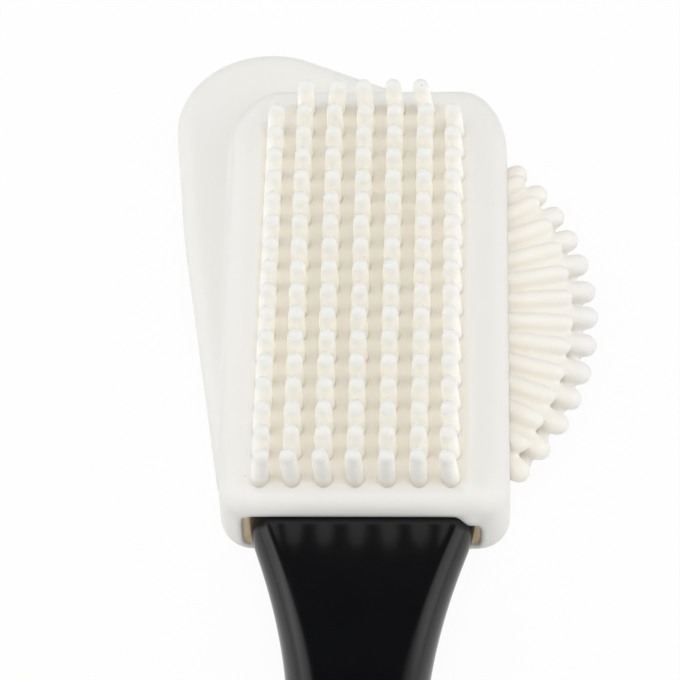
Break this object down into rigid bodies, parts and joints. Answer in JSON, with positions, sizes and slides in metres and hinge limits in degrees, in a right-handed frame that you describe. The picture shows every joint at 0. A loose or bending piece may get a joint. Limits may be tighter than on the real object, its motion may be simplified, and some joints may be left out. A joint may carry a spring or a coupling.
{
  "type": "suede brush",
  "caption": "Hand brush with a soft rubber head of fingers, a side fan and a smooth corner lip on a flat moulded handle, for cleaning suede shoes.",
  "frame": {"origin": "on the flat underside of the head, below the middle of the sleeve", "axes": "+Z out of the bristle face, the handle towards -Y, the fan of fingers towards +X"},
  "size_m": [0.0565, 0.1634, 0.0175],
  "materials": {
    "rubber": "soft satin, off-white",
    "plastic": "polished black"
  },
  "bodies": {
    "root": {"handle": "plastic", "sleeve": "rubber", "corner_lip": "rubber", "pad_bristles": "rubber", "fan_bristles_upper": "rubber", "fan_bristles_middle": "rubber", "fan_bristles_lower": "rubber"}
  },
  "joints": []
}
